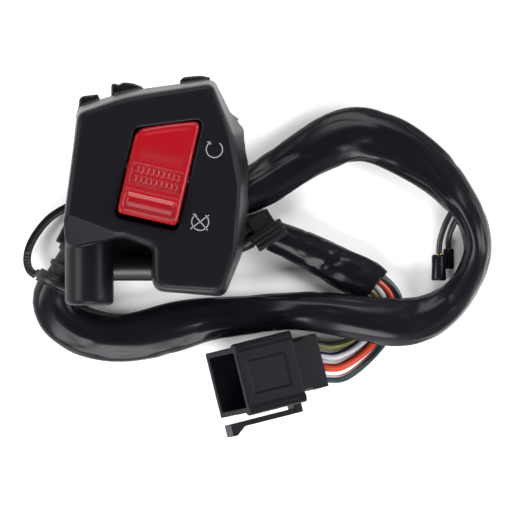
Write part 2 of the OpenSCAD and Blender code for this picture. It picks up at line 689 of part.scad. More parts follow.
front_shell();
rear_shell();
clamp_screws();
rocker();
pivot_pins();
detent_plunger();
detent_spring();
contact_carrier();
carrier_screws();
contact_bridge();
run_contact();
stop_contact();
common_post();
grommet();
sheath_collar();
cable_tie();
main_sheath();
wire_bundle();
sleeve_clip();
second_sleeve();
wire_black();
wire_green();
wire_blue();
wire_grey();
wire_red();
wire_orange();
wire_white();
wire_teal();
connector_hood();
connector_holder();
connector_latch();
connector_pins();
branch_wires();
branch_sleeves();
bullet_terminals();
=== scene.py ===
import math

import bmesh
import bpy
import numpy as np
from mathutils import Matrix, Vector, noise


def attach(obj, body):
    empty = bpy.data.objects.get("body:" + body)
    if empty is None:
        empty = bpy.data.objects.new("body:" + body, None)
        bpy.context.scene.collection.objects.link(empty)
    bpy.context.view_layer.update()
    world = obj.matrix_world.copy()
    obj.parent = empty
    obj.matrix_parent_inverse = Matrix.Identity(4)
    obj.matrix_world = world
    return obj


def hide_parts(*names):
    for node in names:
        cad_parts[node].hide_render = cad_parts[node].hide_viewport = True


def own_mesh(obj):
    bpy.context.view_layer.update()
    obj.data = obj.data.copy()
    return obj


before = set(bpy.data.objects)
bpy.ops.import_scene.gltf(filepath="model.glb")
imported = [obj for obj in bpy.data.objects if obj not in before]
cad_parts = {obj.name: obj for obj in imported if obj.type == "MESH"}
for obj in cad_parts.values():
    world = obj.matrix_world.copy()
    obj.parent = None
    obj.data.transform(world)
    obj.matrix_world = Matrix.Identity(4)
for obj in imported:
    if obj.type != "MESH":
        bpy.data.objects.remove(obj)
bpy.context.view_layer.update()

# Studio: a pale paper floor that the part lies on, four broad soft lamps, a sky that darkens overhead
# and a long lens straight above, as in a catalogue shot. Sizes are millimetres until a mesh is made.
MM = 0.001
FLOOR, FLOOR_HALF = -18.0, 4000.0
VIEW_MID = (28.8, -28.8)
VIEW_WIDTH = 153.6
LENS_DISTANCE = 2000.0
SENSOR = 36.0

camera_data = bpy.data.cameras.new("camera")
camera_data.sensor_width = SENSOR
camera_data.lens = SENSOR * LENS_DISTANCE / VIEW_WIDTH
camera_data.clip_end = 10.0
camera = bpy.data.objects.new("camera", camera_data)
camera.location = (VIEW_MID[0] * MM, VIEW_MID[1] * MM, LENS_DISTANCE * MM)
bpy.context.scene.collection.objects.link(camera)
bpy.context.scene.camera = camera
bpy.context.scene.view_settings.view_transform = "Standard"

LAMPS_AIM = Vector((0.03, -0.03, 0.0))


def lamp(name, place, size, power):
    """A square soft lamp at a place, facing the part, in metres and watts."""
    data = bpy.data.lights.new(name, "AREA")
    data.size = size
    data.energy = power
    obj = bpy.data.objects.new(name, data)
    obj.location = place
    obj.rotation_euler = (LAMPS_AIM - Vector(place)).to_track_quat("-Z", "Y").to_euler()
    bpy.context.scene.collection.objects.link(obj)


lamp("lamp_top", (0.0, 0.8, 0.7), size=0.6, power=8.0)
lamp("lamp_left", (-0.85, -0.1, 0.65), size=0.5, power=10.0)
lamp("lamp_right", (0.95, 0.1, 0.6), size=0.5, power=10.0)
lamp("lamp_front", (0.0, -0.85, 0.55), size=0.6, power=16.0)

SKY_FADES_FROM, SKY_FADES_TO = 0.3, 0.92
SKY_LOW, SKY_OVERHEAD = 0.7, 0.03

world = bpy.data.worlds.new("studio")
world.use_nodes = True
sky_nodes, sky_links = world.node_tree.nodes, world.node_tree.links
sky = sky_nodes["Background"]
sky.inputs["Color"].default_value = (1.0, 1.0, 1.0, 1.0)
sky_place = sky_nodes.new("ShaderNodeTexCoord")
sky_split = sky_nodes.new("ShaderNodeSeparateXYZ")
sky_fade = sky_nodes.new("ShaderNodeMapRange")
sky_fade.inputs["From Min"].default_value = SKY_FADES_FROM
sky_fade.inputs["From Max"].default_value = SKY_FADES_TO
sky_fade.inputs["To Min"].default_value = SKY_LOW
sky_fade.inputs["To Max"].default_value = SKY_OVERHEAD
sky_links.new(sky_place.outputs["Generated"], sky_split.inputs["Vector"])
sky_links.new(sky_split.outputs["Z"], sky_fade.inputs["Value"])
sky_links.new(sky_fade.outputs["Result"], sky.inputs["Strength"])
bpy.context.scene.world = world

COAT_ROUGH = 0.12
GRAIN_DETAIL = 5.0
RELIEF_HEIGHT = 0.0002


def finish(name, color, rough, scale, bump, spread=0.15, metallic=0.0, coat=0.0, shine=0.5,
           stretch=(1, 1, 1), coords="Object"):
    """Material whose tone, gloss and surface vary with noise; scale is in noise cells per metre."""
    mat = bpy.data.materials.new(name)
    mat.use_nodes = True
    nodes, links = mat.node_tree.nodes, mat.node_tree.links
    shader = nodes["Principled BSDF"]
    shader.inputs["Metallic"].default_value = metallic
    shader.inputs["Coat Weight"].default_value = coat
    shader.inputs["Specular IOR Level"].default_value = shine
    shader.inputs["Coat Roughness"].default_value = COAT_ROUGH
    place = nodes.new("ShaderNodeTexCoord")
    mapping = nodes.new("ShaderNodeMapping")
    mapping.inputs["Scale"].default_value = stretch
    grain = nodes.new("ShaderNodeTexNoise")
    grain.inputs["Scale"].default_value = scale
    grain.inputs["Detail"].default_value = GRAIN_DETAIL
    tone = nodes.new("ShaderNodeMix")
    tone.data_type = "RGBA"
    tone.inputs["A"].default_value = (*[c * (1 - spread) for c in color], 1.0)
    tone.inputs["B"].default_value = (*[min(c * (1 + spread), 1.0) for c in color], 1.0)
    gloss = nodes.new("ShaderNodeMapRange")
    gloss.inputs["To Min"].default_value = rough * (1 - spread)
    gloss.inputs["To Max"].default_value = rough * (1 + spread)
    relief = nodes.new("ShaderNodeBump")
    relief.inputs["Strength"].default_value = bump
    relief.inputs["Distance"].default_value = RELIEF_HEIGHT
    links.new(place.outputs[coords], mapping.inputs["Vector"])
    links.new(mapping.outputs["Vector"], grain.inputs["Vector"])
    links.new(grain.outputs["Fac"], tone.inputs["Factor"])
    links.new(tone.outputs["Result"], shader.inputs["Base Color"])
    links.new(grain.outputs["Fac"], gloss.inputs["Value"])
    links.new(gloss.outputs["Result"], shader.inputs["Roughness"])
    links.new(grain.outputs["Fac"], relief.inputs["Height"])
    links.new(relief.outputs["Normal"], shader.inputs["Normal"])
    return mat


def piece(name, bm, mat):
    """An object of one material out of a finished bmesh, in metres."""
    mesh = bpy.data.meshes.new(name)
    bm.to_mesh(mesh)
    bm.free()
    mesh.materials.append(mat)
    obj = bpy.data.objects.new(name, mesh)
    bpy.context.scene.collection.objects.link(obj)
    return obj


paper = finish("floor_paper", (0.93, 0.93, 0.93), rough=0.6, scale=300, bump=0.02, spread=0.01)
sheet = bmesh.new()
bmesh.ops.create_grid(sheet, x_segments=1, y_segments=1, size=FLOOR_HALF * MM,
                      matrix=Matrix.Translation((0, 0, FLOOR * MM)))
floor = piece("floor", sheet, paper)


# Shells: two halves of satin black moulded plastic, screwed together round the bar. The rear half has
# the ribs, the screw bosses and the gland. The front half, a little duller, has the face, the slanted
# facet and the cable boss.
def softened(node, mat, voxel, smooth, body="housing", keep=1.0):
    """A finely meshed copy of a solid, its edges rounded as a mould leaves them, which stands for it."""
    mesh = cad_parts[node].data.copy()
    mesh.materials.clear()
    obj = bpy.data.objects.new(node + "_skin", mesh)
    bpy.context.scene.collection.objects.link(obj)
    grid = obj.modifiers.new("grid", "REMESH")
    grid.mode = "VOXEL"
    grid.voxel_size = voxel * MM
    soft = obj.modifiers.new("soft", "SMOOTH")
    soft.factor = 0.5
    soft.iterations = smooth
    if keep < 1.0:
        fewer = obj.modifiers.new("fewer", "DECIMATE")
        fewer.ratio = keep
    made = bpy.data.meshes.new_from_object(obj.evaluated_get(bpy.context.evaluated_depsgraph_get()))
    obj.modifiers.clear()
    obj.data = made
    made.materials.clear()
    made.materials.append(mat)
    made.shade_smooth()
    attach(obj, body)
    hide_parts(node)
    return obj


shell_plastic = finish("shell_plastic", (0.0042, 0.004, 0.0056), rough=0.34, scale=2600, bump=0.12,
                       spread=0.18, shine=0.24)
face_plastic = finish("face_plastic", (0.0048, 0.0045, 0.0064), rough=0.36, scale=2600, bump=0.12,
                      spread=0.18, shine=0.1)
softened("rear_shell", shell_plastic, voxel=0.4, smooth=3, keep=0.6)
softened("front_shell", face_plastic, voxel=0.36, smooth=8, keep=0.45)
steel = finish("zinc_plate", (0.5, 0.51, 0.53), rough=0.35, scale=1800, bump=0.1, metallic=1.0)
softened("clamp_screws", steel, voxel=0.16, smooth=1)


# White printed marks on the front face: a turning arrow for run and the same arrow crossed out for
# stop. They are pad printed in paint, so they are thin strokes that stand just proud of the face.
MARK_WIDTH, MARK_LOW, MARK_HIGH = 0.28, 28.8, 29.04
MARK_BEGIN, MARK_SWEEP, MARK_STEPS = math.radians(128), math.radians(284), 60
ARROW_TIP = (0.1, 0.35)
ARROW_BARBS = ((-0.75, -0.05), (0.35, -0.75))
CROSS_BARS = (((-2.9, -2.1), (2.6, 2.0)), ((-1.9, 2.3), (2.2, -2.5)))

paint = finish("mark_paint", (0.2, 0.2, 0.21), rough=0.5, scale=3000, bump=0.05, spread=0.05)


def bar(bm, start, end):
    """A straight raised stroke between two x, y points on the front face."""
    middle, reach = (start + end) / 2, end - start
    bmesh.ops.create_cube(bm, size=1.0, matrix=Matrix.Translation((*middle, (MARK_LOW + MARK_HIGH) / 2))
                          @ Matrix.Rotation(math.atan2(reach[1], reach[0]), 4, "Z")
                          @ Matrix.Diagonal((np.linalg.norm(reach), MARK_WIDTH, MARK_HIGH - MARK_LOW, 1)))


def mark(name, middle, radius, crossed):
    """A circle open at the top with an arrowhead at its upper left end, crossed out or not."""
    bm = bmesh.new()
    middle = np.array(middle)
    out = np.array((math.cos(MARK_BEGIN), math.sin(MARK_BEGIN)))
    inner, outer = radius - MARK_WIDTH / 2, radius + MARK_WIDTH / 2
    section = [bm.verts.new((*(middle + out * r), z)) for r, z in
               ((inner, MARK_LOW), (outer, MARK_LOW), (outer, MARK_HIGH), (inner, MARK_HIGH))]
    face = bm.faces.new(section)
    bmesh.ops.spin(bm, geom=[face, *face.edges, *section], cent=(*middle, 0), axis=(0, 0, 1),
                   angle=MARK_SWEEP, steps=MARK_STEPS)
    bmesh.ops.holes_fill(bm, edges=[e for e in bm.edges if e.is_boundary])
    tip = middle + out * radius + ARROW_TIP
    for barb in ARROW_BARBS:
        bar(bm, tip, tip + barb)
    if crossed:
        for start, end in CROSS_BARS:
            bar(bm, middle + start, middle + end)
    bmesh.ops.scale(bm, vec=(MM, MM, MM), verts=bm.verts[:])
    bmesh.ops.recalc_face_normals(bm, faces=bm.faces[:])
    return piece(name, bm, paint)


run_mark = mark("run_mark", (16.5, 2.7), radius=2.4, crossed=False)
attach(run_mark, "housing")
stop_mark = mark("stop_mark", (12.3, -18.7), radius=2.5, crossed=True)
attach(stop_mark, "housing")


# Switch parts inside the housing, under the rocker: blackened steel pivot pins, an acetal plunger on a
# coil spring of steel wire that makes the rocker snap over, and pressed brass contacts on a phenolic
# carrier, which two small screws hold.
def lengths(line):
    """Length along a line up to each of its points."""
    return np.concatenate([[0.0], np.cumsum(np.linalg.norm(np.diff(line, axis=0), axis=1))])


def frames(line):
    """Length along a line, and its sideways and upward vectors at each point."""
    ahead = np.gradient(line, axis=0)
    ahead /= np.linalg.norm(ahead, axis=1)[:, None]
    side = np.cross([0.0, 0.0, 1.0], ahead)
    side /= np.linalg.norm(side, axis=1)[:, None]
    return lengths(line), side, np.cross(ahead, side)


def tube_rings(rows, sides, dent=None):
    """Rings along dense rows of x, y, z, half width and half height, with a dent added outwards."""
    along, side, up = frames(rows[:, :3])
    rings = np.empty((len(rows), sides, 3))
    for i, (x, y, z, wide, high) in enumerate(rows):
        for k, turn in enumerate(np.linspace(0, 2 * math.pi, sides, endpoint=False)):
            out = math.cos(turn) * side[i] * wide + math.sin(turn) * up[i] * high
            reach = math.hypot(math.cos(turn) * wide, math.sin(turn) * high)
            more = dent(along[i], turn) if dent else 0.0
            rings[i, k] = np.array((x, y, z)) + out * (1 + more / reach)
    return rings, along


def skin(name, rings, mat, along=None):
    """A piece through rings of points in millimetres, with UVs in metres round and along it."""
    rings = np.asarray(rings)
    count, sides = rings.shape[:2]
    if along is None:
        along = lengths(rings.mean(axis=1))
    girth = np.linalg.norm(np.roll(rings, -1, axis=1) - rings, axis=2).sum(axis=1).mean()
    bm = bmesh.new()
    uv = bm.loops.layers.uv.new("UVMap")
    grid = [[bm.verts.new(point * MM) for point in ring] for ring in rings]
    for i in range(count - 1):
        for k in range(sides):
            q = (k + 1) % sides
            face = bm.faces.new((grid[i][k], grid[i][q], grid[i + 1][q], grid[i + 1][k]))
            face.smooth = True
            for loop, (a, b) in zip(face.loops, ((i, k), (i, k + 1), (i + 1, k + 1), (i + 1, k))):
                loop[uv].uv = (b / sides * girth * MM, along[a] * MM)
    bm.faces.new(list(reversed(grid[0])))
    bm.faces.new(grid[-1])
    bmesh.ops.recalc_face_normals(bm, faces=bm.faces[:])
    return piece(name, bm, mat)


def dress(node, mat):
    """Give its material to a solid that is shown as it is."""
    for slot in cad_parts[node].material_slots:
        slot.material = mat


brass = finish("brass", (0.62, 0.44, 0.17), rough=0.3, scale=1500, bump=0.08, metallic=1.0)
phenolic = finish("phenolic", (0.16, 0.09, 0.045), rough=0.5, scale=1200, bump=0.25, spread=0.3)
acetal = finish("acetal", (0.72, 0.69, 0.6), rough=0.35, scale=1500, bump=0.05, spread=0.05)
blacked = finish("blacked_steel", (0.02, 0.02, 0.022), rough=0.45, scale=1800, bump=0.1, metallic=0.6)
dress("pivot_pins", blacked)
dress("carrier_screws", steel)
for node in ("contact_bridge", "run_contact", "stop_contact", "common_post", "bullet_terminals"):
    dress(node, brass)
dress("contact_carrier", phenolic)
dress("detent_plunger", acetal)

ROCKER_AT = np.array((-0.3, -4.2, 26.0))
SPRING_AXIS = np.array((0.0274, 0.1187, 0.9925))
SPRING_HALF, SPRING_R, SPRING_WIRE, SPRING_TURNS, SPRING_PRESSED = 1.15, 1.4, 0.2, 4.5, 0.6
SPRING_ROWS = 200

across = np.cross(SPRING_AXIS, (1.0, 0.0, 0.0))
across /= np.linalg.norm(across)
other = np.cross(SPRING_AXIS, across)
coil = []
for share in np.linspace(0, 1, SPRING_ROWS):
    turn = 2 * math.pi * SPRING_TURNS * share
    rise = (SPRING_HALF - SPRING_WIRE) * (2 * share - 1)
    place = ROCKER_AT + SPRING_AXIS * rise + SPRING_R * (math.cos(turn) * across + math.sin(turn) * other)
    coil.append((*place, SPRING_WIRE, SPRING_WIRE))
rings, along = tube_rings(np.array(coil), sides=10)
spring = skin("detent_spring_coil", rings, steel, along=along)
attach(spring, "rocker")
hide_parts("detent_spring")
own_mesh(spring)


# Red rocker: a glossy injection moulding that tilts on the two pins. It has a rounded rim, a dished
# upper field, a sunken frame with two rows of plain grip ribs, a ridge, a scoop and a raised lip.
# On its face, u runs across and v along; the profile's rows are v and height.
ROCKER_TURN = math.radians(-13)
HALF_W = 9.1
LOW_V, LEVEL_V = -15.1, 4.0
TOP_MID, TOP_SLANT, TOP_BOW, TOP_COSINE = 14.5, 6.8 / 18.2, 0.45, 0.94
CORNER_LOW, CORNER_TOP = 3.1, 2.3
RIM = 1.3
SKIRT_DEPTHS, SKIRT_LEAST = (1.2, -1.6), 0.2
SWING_R = 15.05
LINES_U, LINES_LOW, LINES_HIGH = 110, 150, 90
PROFILE = np.array([(-16, 6.4), (-14.4, 6.6), (-13.6, 6.9), (-12.6, 6.6), (-11.4, 5.4), (-10.2, 4.9),
                    (-8.9, 4.7), (-8.2, 4.9), (-7.5, 5.5), (-6.9, 5.6), (-6.2, 5.35), (-4, 5), (3, 3.9),
                    (8, 3.3), (14, 3.15), (19, 3.0)])
PROFILE_SOFT = 9
LIP, RIDGE = (-13.6, 6.9), (-6.9, 5.6)
SCOOP_IN, SCOOP_EASE = 0.9, 1.6
DISH_HALF, DISH_HALF_EASE = 8.4, 3.2
DISH_LOW, DISH_LOW_EASE = 2.2, 4.5
DISH_IN, DISH_IN_EASE = 1.3, 1.6
DISH_DEPTH = 0.34
FRAME_V, FRAME_HALF, FRAME_EASE, FRAME_DEPTH = -1.6, (7.6, 3.1), 0.35, 0.5
RIB_ROWS, RIBS_EACH_WAY, RIB_PITCH = (-3.1, -0.1), 4, 1.55
RIB_HALF, RIB_EASE, RIB_HEIGHT = (0.42, 0.95), 0.3, 0.36


def eased(x):
    """A smooth step from 0 to 1."""
    x = np.clip(x, 0, 1)
    return x * x * (3 - 2 * x)


def upper_edge(u):
    """The slanted and slightly bowed upper end of the rocker."""
    return TOP_MID + TOP_SLANT * u + TOP_BOW * (1 - (u / HALF_W) ** 2)


def grown(count, low, high):
    """Places from low to high that lie closer together near both ends."""
    t = np.linspace(0, 1, count)
    return low + (high - low) * (0.6 * t + 0.4 * (0.5 - 0.5 * np.cos(math.pi * t)))


u_lines = grown(LINES_U, -HALF_W, HALF_W)
v_low = grown(LINES_LOW, LOW_V, LEVEL_V)
t_high = grown(LINES_HIGH, 0.0, 1.0)[1:]
v = np.array([np.concatenate([v_low, LEVEL_V + (upper_edge(line) - LEVEL_V) * t_high]) for line in u_lines])
u = np.repeat(u_lines[:, None], v.shape[1], axis=1)

gap_low, gap_top = v - LOW_V, (upper_edge(u) - v) * TOP_COSINE
gap_end = np.minimum(gap_low, gap_top)
lower = gap_low < gap_top
round_off = np.where(lower, CORNER_LOW, CORNER_TOP)
past_u, past_v = np.abs(u) - (HALF_W - round_off), round_off - gap_end
past_most = np.maximum(past_u, past_v)
corner = (past_u > 0) & (past_v > 0)
pull = np.where(corner, past_most / np.where(corner, np.hypot(past_u, past_v), 1.0), 1.0)
edge = np.where(corner, round_off - past_most, np.minimum(HALF_W - np.abs(u), gap_end))
face_u = np.where(corner, np.sign(u) * (HALF_W - round_off + past_u * pull), u)
shift = np.where(corner, past_v * (1 - pull), 0.0)
face_v = np.where(lower, v + shift, v - shift / TOP_COSINE)


def block(middle, half, ease):
    """1 inside a rectangle on the rocker's face and 0 outside, eased over its edge."""
    return (eased((half[0] - np.abs(face_u - middle[0])) / ease + 0.5)
            * eased((half[1] - np.abs(face_v - middle[1])) / ease + 0.5))


height = np.interp(face_v, PROFILE[:, 0], PROFILE[:, 1])
blur = np.hanning(PROFILE_SOFT) / np.hanning(PROFILE_SOFT).sum()
height = np.apply_along_axis(
    lambda line: np.convolve(np.pad(line, PROFILE_SOFT // 2, "edge"), blur, "valid"), 1, height)
straight = np.interp(face_v, (LIP[0], RIDGE[0]), (LIP[1], RIDGE[1]))
scooped = (face_v < RIDGE[0]) & (face_v > LIP[0])
scoop = eased((HALF_W - SCOOP_IN - np.abs(face_u)) / SCOOP_EASE)
height = np.where(scooped, straight - (straight - height) * scoop, height)
dish = (eased((DISH_HALF - np.abs(face_u)) / DISH_HALF_EASE) * eased((face_v - DISH_LOW) / DISH_LOW_EASE)
        * eased((gap_top - DISH_IN) / DISH_IN_EASE))
height -= DISH_DEPTH * dish
height -= FRAME_DEPTH * block((0.0, FRAME_V), FRAME_HALF, FRAME_EASE)
for row in RIB_ROWS:
    for k in range(-RIBS_EACH_WAY, RIBS_EACH_WAY + 1):
        height += RIB_HEIGHT * block((RIB_PITCH * k, row), RIB_HALF, RIB_EASE)
height -= RIM - np.sqrt(np.maximum(RIM**2 - (RIM - np.minimum(edge, RIM)) ** 2, 0))
limit = np.sqrt(np.maximum(SWING_R**2 - height**2, 1.0))
face_v = np.where(face_v < 0, np.maximum(face_v, -limit), face_v)

moulding = bmesh.new()
n_u, n_v = height.shape
bmesh.ops.create_grid(moulding, x_segments=n_u - 1, y_segments=n_v - 1, size=1.0)
for vert in moulding.verts:
    i, j = round((vert.co.x + 1) / 2 * (n_u - 1)), round((vert.co.y + 1) / 2 * (n_v - 1))
    vert.co = (face_u[i, j], face_v[i, j], height[i, j])
rim = [e for e in moulding.edges if e.is_boundary]
for depth in SKIRT_DEPTHS:
    made = bmesh.ops.extrude_edge_only(moulding, edges=rim)["geom"]
    for vert in (g for g in made if isinstance(g, bmesh.types.BMVert)):
        vert.co.z = min(depth, vert.co.z - SKIRT_LEAST)
        if vert.co.y < 0:
            vert.co.y = max(vert.co.y, -math.sqrt(SWING_R**2 - vert.co.z**2))
    rim = [g for g in made if isinstance(g, bmesh.types.BMEdge) and g.is_boundary]
for face in moulding.faces:
    face.smooth = True
bmesh.ops.edgeloop_fill(moulding, edges=rim)
bmesh.ops.recalc_face_normals(moulding, faces=moulding.faces[:])
bmesh.ops.transform(moulding, verts=moulding.verts[:], matrix=Matrix.Translation(ROCKER_AT * MM)
                    @ Matrix.Rotation(ROCKER_TURN, 4, "Z") @ Matrix.Scale(MM, 4))
red = finish("rocker_red", (0.2, 0.0022, 0.006), rough=0.31, scale=1500, bump=0.08, spread=0.08,
             coat=0.06, shine=0.2)
rocker = piece("rocker_skin", moulding, red)
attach(rocker, "rocker")
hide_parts("rocker")


# Harness exit: a ribbed rubber grommet that is pressed into the gland, the sleeve's end bound with
# vinyl tape, and a nylon cable tie pulled tight over it, whose long tail curls up beside the housing.
def dense(rows, step):
    """Rows of numbers made dense along a smooth curve; the first three columns are a place."""
    rows = np.array(rows, float)
    padded = np.vstack([2 * rows[0] - rows[1], rows, 2 * rows[-1] - rows[-2]])
    out = []
    for i in range(1, len(padded) - 2):
        p0, p1, p2, p3 = padded[i - 1 : i + 3]
        count = max(2, int(np.linalg.norm((p2 - p1)[:3]) / step))
        for t in np.arange(count) / count:
            out.append(0.5 * (2 * p1 + (p2 - p0) * t + (2 * p0 - 5 * p1 + 4 * p2 - p3) * t**2
                              + (3 * p1 - p0 - 3 * p2 + p3) * t**3))
    out.append(rows[-1])
    return np.array(out)


def wound(pitch, depth):
    """Edges of tape wound in a spiral, in millimetres outwards."""
    return lambda s, turn: depth * (((s / pitch + turn / (2 * math.pi)) % 1.0) - 0.5)


rubber = finish("rubber", (0.006, 0.006, 0.007), rough=0.5, scale=1400, bump=0.3, spread=0.2, shine=0.25)
softened("grommet", rubber, voxel=0.2, smooth=2)

GLAND = np.array((-22.5, -21.0, FLOOR + 8.0))
GLAND_DIR = np.array((-0.453, -0.891, 0.0))
UPRIGHT = np.array((0, 0, 1.0))
COLLAR_FROM, COLLAR_TO, COLLAR_ROWS = 16.2, 20.2, 24
COLLAR_R, COLLAR_SWELL = 6.7, 0.12

tape = finish("vinyl_tape", (0.006, 0.006, 0.007), rough=0.42, scale=900, bump=0.35, spread=0.2, shine=0.25,
              stretch=(1, 0.3, 1), coords="UV")
collar_r = COLLAR_R + COLLAR_SWELL * np.sin(np.linspace(0, math.pi, COLLAR_ROWS))
collar_rows = np.array([(*(GLAND + GLAND_DIR * h), r, r) for h, r in
                        zip(np.linspace(COLLAR_FROM, COLLAR_TO, COLLAR_ROWS), collar_r)])
rings, along = tube_rings(collar_rows, sides=40, dent=wound(pitch=1.6, depth=0.22))
collar = skin("sheath_collar_tape", rings, tape, along=along)
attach(collar, "housing")
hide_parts("sheath_collar")

TIE_HALF = (1.2, 0.5)
TIE_TEETH_FROM, TIE_TOOTH, TIE_EDGE = 21.0, 0.22, 0.08
TIE_TAIL = [(-26.4, -13.6, 2), (-29, -14.4, 2.2), (-33.6, -17.4, 3), (-37.2, -21.6, 4), (-39.6, -26, 5),
            (-40.3, -30, 6), (-39.5, -33, 7), (-37.6, -34.6, 7.6)]
HOOP_AT, HOOP_R, HOOP_STEPS = 18.2, 7.35, 48
HOOP_OUTLINE = ((-1.2, -0.5), (-1.2, 0.4), (-1.0, 0.55), (1.0, 0.55), (1.2, 0.4), (1.2, -0.5))

nylon = finish("nylon", (0.006, 0.006, 0.0075), rough=0.36, scale=1600, bump=0.15, spread=0.15, shine=0.25)
rows = dense([(x, y, FLOOR + z, *TIE_HALF) for x, y, z in TIE_TAIL], step=0.25)
along, side, up = frames(rows[:, :3])
strap = []
for i, (x, y, z, a, b) in enumerate(rows):
    tooth = TIE_TOOTH * (along[i] % 1.0) if along[i] > TIE_TEETH_FROM else 0.0
    outline = [(a, -b), (a, b), (0.7 * a, b + TIE_EDGE), (0.62 * a, b + tooth), (-0.62 * a, b + tooth),
               (-0.7 * a, b + TIE_EDGE), (-a, b), (-a, -b)]
    strap.append([np.array((x, y, z)) + side[i] * p + up[i] * q for p, q in outline])
tie = skin("cable_tie_strap", strap, nylon)
across = np.cross(GLAND_DIR, UPRIGHT)
band = bmesh.new()
section = [band.verts.new((GLAND + GLAND_DIR * (HOOP_AT + p) + across * (HOOP_R + q)) * MM)
           for p, q in HOOP_OUTLINE]
edges = [band.edges.new(ends) for ends in zip(section, section[1:] + section[:1])]
bmesh.ops.spin(band, geom=section + edges, cent=GLAND * MM, axis=GLAND_DIR, angle=2 * math.pi,
               steps=HOOP_STEPS, use_merge=True)
for face in band.faces:
    face.smooth = True
bmesh.ops.recalc_face_normals(band, faces=band.faces[:])
band.from_mesh(tie.data)
band.to_mesh(tie.data)
band.free()
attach(tie, "housing")
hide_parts("cable_tie")


# Dark web in the notch: a thin curved sheet of the rear shell's plastic that joins the half-round guide
# # to the plate's edge. It is partly a guessed wall and partly a dark sheet that stands in for the painted
# # shade in the notch, shutting out the lit floor behind it. Its rows are y and z, its stations x and sag.
SHADE_WEB = [(-28.4, -1.3), (-27.2, -2.1), (-25.8, -2.7), (-24.2, -2.9), (-22.4, -2.8)]
SHADE_WEB_BACK, SHADE_WEB_WALL = 0.15, 0.9
SHADE_WEB_STATIONS = ((-15.6, 0.0), (-15.2, 0.04), (-11, 0.22), (-8, 0.26), (-5, 0.22), (-2.2, 0.04), (-1.8, 0.0))

under = [(y + SHADE_WEB_BACK, z - SHADE_WEB_WALL) for y, z in reversed(SHADE_WEB)]
web = bmesh.new()
x, sag = SHADE_WEB_STATIONS[0]
end = web.faces.new([web.verts.new((x, y, z - sag)) for y, z in SHADE_WEB + under])
for next_x, next_sag in SHADE_WEB_STATIONS[1:]:
    made = bmesh.ops.extrude_face_region(web, geom=[end, *end.edges])["geom"]
    end = next(g for g in made if isinstance(g, bmesh.types.BMFace))
    bmesh.ops.translate(web, verts=end.verts[:], vec=(next_x - x, 0, sag - next_sag))
    x, sag = next_x, next_sag
for face in web.faces:
    face.smooth = len(face.verts) == 4
bmesh.ops.scale(web, vec=(MM, MM, MM), verts=web.verts[:])
bmesh.ops.recalc_face_normals(web, faces=web.faces[:])
# This sheet is painted shade: it blocks the lit floor so that the notch reads dark.
shade_web = piece("notch_shade_web", web, shell_plastic)
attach(shade_web, "housing")


# Main harness sleeve: a soft vinyl tube pulled over the loom, flattened where it lies and on its edge
# in the tight turn. Each row is x, y, lift over the floor, half width and half height.
SHEATH = [
    (-30, -35.6, 2, 6, 6), (-31.4, -38.6, 2, 6.2, 5.8), (-32, -42, 1.6, 6.6, 5.6),
    (-30.4, -46.2, 1, 7, 5.4), (-27, -49.6, 0.4, 7.2, 5.2), (-22, -52.2, 0.2, 7.4, 5),
    (-15, -53.6, 0.2, 7.4, 4.9), (-6, -52.6, 0.2, 7.4, 4.8), (4, -50, 0.2, 7.5, 4.7),
    (14, -48, 0.2, 6.8, 5), (24, -46.8, 0.4, 6, 5.4), (35, -45.8, 1.2, 5.5, 5.8),
    (45, -45.6, 3, 5.9, 5.4), (55, -46.8, 5, 6.4, 5.2), (64, -48.2, 5.4, 6.8, 5),
    (72, -48.8, 5, 6.9, 4.8), (79.5, -47.6, 2.8, 6.6, 5), (86.4, -43.6, 0.8, 5.8, 5.6),
    (91.6, -37.8, 0.3, 4.8, 6.2), (94.8, -31, 0.2, 4.1, 6.6), (95.6, -24.6, 0.2, 3.9, 6.8),
    (93.4, -16.8, 0.2, 4.6, 6.4), (88, -9.4, 0.2, 6, 5.4), (81.6, -2.4, 0.2, 7, 4.8),
    (74, 3.2, 0.2, 7.6, 4.4), (66.4, 6.6, 0.2, 8, 4.2), (59.4, 8, 0.2, 8.2, 4.1),
    (52.6, 6.6, 0.2, 8, 4.2), (45.6, 3, 0.2, 7.6, 4.3), (39, -1.4, 0.2, 7.4, 4.4),
    (32.4, -5.8, 0.2, 7.2, 4.5), (26.4, -9.4, 0.2, 6.4, 4.9), (22.8, -11.6, 0.2, 5.6, 5.2)]
FLOOR_GAP = 0.1
LUMP_ROUND, LUMP_RATE, LUMP_SHARE = 1.1, 0.055, 0.55
PLEAT_ROUND, PLEAT_RATE, PLEAT_SHARE = 2.6, 0.045, 0.4
CREASE_ROUND, CREASE_SHARP, CREASE_SHARE = 1.5, 4, 0.35

vinyl = finish("vinyl_sleeve", (0.0046, 0.0044, 0.0066), rough=0.25, scale=240, bump=0.45, spread=0.2,
               shine=0.13, stretch=(1, 0.14, 1), coords="UV")


def sleeve_dent(seed, depth, crease_rate):
    """Soft lumps, long pleats and sharp creases of thin vinyl, in millimetres outwards."""
    def dent(s, turn):
        c, d = math.cos(turn), math.sin(turn)
        lump = noise.noise(Vector((c * LUMP_ROUND + seed, d * LUMP_ROUND, s * LUMP_RATE)))
        pleat = noise.noise(Vector((c * PLEAT_ROUND, d * PLEAT_ROUND + seed, s * PLEAT_RATE)))
        line = noise.noise(Vector((c * CREASE_ROUND, d * CREASE_ROUND, s * crease_rate + seed)))
        crease = 1 - abs(line) * CREASE_SHARP
        return depth * (LUMP_SHARE * lump + PLEAT_SHARE * pleat - CREASE_SHARE * max(crease, 0.0) ** 2)
    return dent


rows = dense([(x, y, FLOOR + lift + b, a, b) for x, y, lift, a, b in SHEATH], step=1.2)
rings, along = tube_rings(rows, sides=48, dent=sleeve_dent(seed=3.1, depth=1.15, crease_rate=0.055))
rings[:, :, 2] = np.maximum(rings[:, :, 2], FLOOR + FLOOR_GAP)
sheath = skin("main_sheath_skin", rings, vinyl, along=along)
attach(sheath, "housing")
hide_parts("main_sheath")


